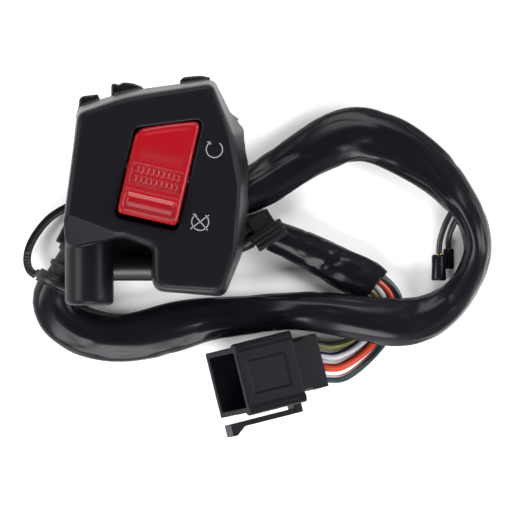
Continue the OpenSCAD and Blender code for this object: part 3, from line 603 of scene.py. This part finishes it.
# Two short leads that branch off inside the loop: insulated copper wires, each crimped to a brass
# bullet that sits in a soft vinyl boot pushed over it and open at its end. Each row is the lead's
# points with heights over the floor, and the boot's radius, hollow and length.
BRANCHES = [([(88.4, -14.4, 6), (86, -19, 6), (84.4, -24, 5.4), (84, -28.2, 5)], 2.2, 1.5, 8.0),
            ([(89.6, -17, 4), (87.8, -21, 2.8), (87, -24, 1.9), (87, -26.5, 1.9)], 1.7, 1.2, 6.2)]
BOOT_SIDES = 28
WIRE_R = 0.9
STRIPE_WIDTH = 0.001


def cord_rows(points, radius, step):
    """Dense rows for a round cord whose points have heights over the floor."""
    return dense([(x, y, FLOOR + z, radius, radius) for x, y, z in points], step)


def insulation(name, color, stripe=None):
    """Glossy wire insulation, with a stripe along it where a second colour is given."""
    mat = finish(name, color, rough=0.3, scale=700, bump=0.1, spread=0.1)
    if stripe:
        nodes, links = mat.node_tree.nodes, mat.node_tree.links
        place = nodes.new("ShaderNodeTexCoord")
        split = nodes.new("ShaderNodeSeparateXYZ")
        within = nodes.new("ShaderNodeMath")
        within.operation = "LESS_THAN"
        within.inputs[1].default_value = STRIPE_WIDTH
        both = nodes.new("ShaderNodeMix")
        both.data_type = "RGBA"
        both.inputs["B"].default_value = (*stripe, 1.0)
        shader = nodes["Principled BSDF"]
        links.new(shader.inputs["Base Color"].links[0].from_socket, both.inputs["A"])
        links.new(place.outputs["UV"], split.inputs["Vector"])
        links.new(split.outputs["X"], within.inputs[0])
        links.new(within.outputs["Value"], both.inputs["Factor"])
        links.new(both.outputs["Result"], shader.inputs["Base Color"])
    return mat


def joined(name, parts, mat):
    """One piece out of several skins."""
    bm = bmesh.new()
    for k, rings in enumerate(parts):
        part = skin(name + str(k), rings, mat)
        bm.from_mesh(part.data)
        bpy.data.objects.remove(part)
    return piece(name, bm, mat)


lead_rings, boot_rings = [], []
for points, wide, hollow, length in BRANCHES:
    rings, _ = tube_rings(cord_rows(points, WIRE_R, step=0.5), sides=14)
    lead_rings.append(rings)
    x, y, z = points[-1]
    boot = [(0.0, 1.0), (0.3, wide * 0.92), (0.8, wide), (length * 0.5, wide * 0.97),
            (length - 0.5, wide * 1.03), (length, wide * 0.96), (length - 0.3, hollow), (length * 0.3, hollow)]
    turns = np.linspace(0, 2 * math.pi, BOOT_SIDES, endpoint=False)
    boot_rings.append([[(x + r * math.cos(turn), y - d, FLOOR + z + r * math.sin(turn)) for turn in turns]
                       for d, r in boot])
leads = joined("branch_leads", lead_rings, insulation("insulation_lead", (0.012, 0.012, 0.013)))
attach(leads, "housing")
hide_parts("branch_wires")
boots = joined("branch_boots", boot_rings, vinyl)
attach(boots, "housing")
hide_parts("branch_sleeves")


# Taped wires between the two sleeves: vinyl tape wound round them in an open spiral, folding back
# behind the housing. They come out of the first sleeve and go into the clip block.
BUNDLE = [(22.8, -11.6, 5), (19, -14.2, 4), (13.8, -17, 3), (10, -20.6, 2.6), (10, -25, 2.6), (14, -28, 2.6),
          (19.6, -27.8, 3.4), (24.6, -25.4, 4.6), (28, -23.4, 5.4)]
BUNDLE_R = 2.3

rows = cord_rows(BUNDLE, BUNDLE_R, step=0.6)
rings, along = tube_rings(rows, sides=24, dent=wound(pitch=4.2, depth=0.35))
bundle = skin("wire_bundle_tape", rings, tape, along=along)
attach(bundle, "housing")
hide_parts("wire_bundle")


# Ribbed clip block: a small black nylon moulding with grip ribs, pressed over the taped wires. It
# holds the end of the second sleeve to them.
clip = softened("sleeve_clip", nylon, voxel=0.16, smooth=1)


# Second sleeve: the same soft vinyl, held by the clip block at one end and cut open at the other,
# where the wires come out. Each row is x, y, half width and half height.
SLEEVE = [(33.6, -22.6, 4.6, 4.8), (38, -24.5, 4.9, 4.7), (44, -27, 5.4, 4.5), (51, -30.4, 5.9, 4.3),
          (57, -33.4, 6.3, 4.1), (61.4, -35.6, 6.5, 4.2), (64.6, -38.2, 6.3, 4.2)]
SLEEVE_LIFT, SLEEVE_WALL, SLEEVE_SIDES = 0.3, 0.7, 40
FOLD_AT, FOLD_SLANT, FOLD_WIDTH, FOLD_DEPTH = 19.0, 2.6, 2.4, 1.1


def crumpled(depth):
    """The short sleeve's lumps, pleats and creases."""
    return sleeve_dent(seed=8.4, depth=depth, crease_rate=0.13)


def twisted(depth):
    """The short sleeve's lumps with one slanting fold where it is twisted."""
    lumps = crumpled(depth)

    def dent(s, turn):
        off = (s - FOLD_AT - FOLD_SLANT * math.cos(turn)) / FOLD_WIDTH
        return lumps(s, turn) - FOLD_DEPTH * math.exp(-off * off) * max(math.sin(turn), 0.0)
    return dent


rows = dense([(x, y, FLOOR + SLEEVE_LIFT + b, a, b) for x, y, a, b in SLEEVE], step=0.6)
outer, _ = tube_rings(rows, SLEEVE_SIDES, twisted(0.7))
mouth_rows = rows[len(rows) // 2 :].copy()
mouth_rows[:, 3:] -= SLEEVE_WALL
inner, _ = tube_rings(mouth_rows, SLEEVE_SIDES, crumpled(0.4))
rings = np.concatenate([outer, inner[::-1]])
rings[:, :, 2] = np.maximum(rings[:, :, 2], FLOOR + FLOOR_GAP)
sleeve = skin("second_sleeve_skin", rings, vinyl)
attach(sleeve, "housing")
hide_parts("second_sleeve")


# Hooded connector: a thin-walled nylon hood with side rails, moulded with a latch arm beside it,
# tinned pins inside and a block pushed in from behind that holds the wires.
hood_nylon = finish("hood_nylon", (0.004, 0.0038, 0.0058), rough=0.34, scale=1500, bump=0.12, spread=0.15,
                    shine=0.08)
hood = softened("connector_hood", hood_nylon, voxel=0.2, smooth=1, keep=0.45)
holder = softened("connector_holder", hood_nylon, voxel=0.2, smooth=1)
latch = softened("connector_latch", hood_nylon, voxel=0.14, smooth=1, body="latch")
tin = finish("tin_plate", (0.6, 0.58, 0.53), rough=0.3, scale=1500, bump=0.05, metallic=1.0)
dress("connector_pins", tin)


# Eight insulated copper wires in two layers, from inside the second sleeve under the main run to the
# back of the connector, where they are crimped to the pins. Two of them carry a thin tracer stripe.
INNER = [(63.1, -39.4, 4.3), (64.8, -42.6, 2.2), (62.5, -49, 1.1), (57.5, -53.8, 1.6), (51.5, -55.6, 3.6),
         (46.2, -54.8, 4.6)]
OUTER = [(65.3, -33.8, 4.3), (72, -41, 2.2), (70.5, -50, 1.1), (64.5, -58.8, 1.6), (56, -65.6, 3.6),
         (49, -66.2, 4.6)]
UPPER_LAYER = [2.2, 2.1, 2, 2, 2.6, 3.6]
LAYER_SPREAD, LAYER_SHIFT = 0.94, 0.06
TAIL_REACH, TAIL_MID = np.array((-7.5, 3.3, 0.0)), -33.2
WIRES = [("black", (0.012, 0.012, 0.013), None), ("green", (0.07, 0.075, 0.018), (0.13, 0.12, 0.03)),
         ("blue", (0.012, 0.018, 0.09), None), ("grey", (0.36, 0.36, 0.39), None),
         ("red", (0.48, 0.01, 0.012), None), ("orange", (0.4, 0.034, 0.01), None),
         ("white", (0.85, 0.85, 0.82), (0.02, 0.02, 0.02)), ("teal", (0.004, 0.018, 0.024), None)]

for i, (shade, color, stripe) in enumerate(WIRES):
    pair, upper = divmod(i, 2)
    share = LAYER_SPREAD * pair / 3 + LAYER_SHIFT * upper
    points = [np.array(a) + (np.array(b) - np.array(a)) * share + np.array((0, 0, rise * upper))
              for a, b, rise in zip(INNER, OUTER, UPPER_LAYER)]
    tail = points[0] + TAIL_REACH
    tail[1] = (tail[1] + TAIL_MID) / 2
    rows = cord_rows([tail] + points, WIRE_R, step=0.5)
    rings, along = tube_rings(rows, sides=14)
    wire = skin("wire_" + shade + "_skin", rings, insulation("insulation_" + shade, color, stripe), along=along)
    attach(wire, "housing")
    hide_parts("wire_" + shade)
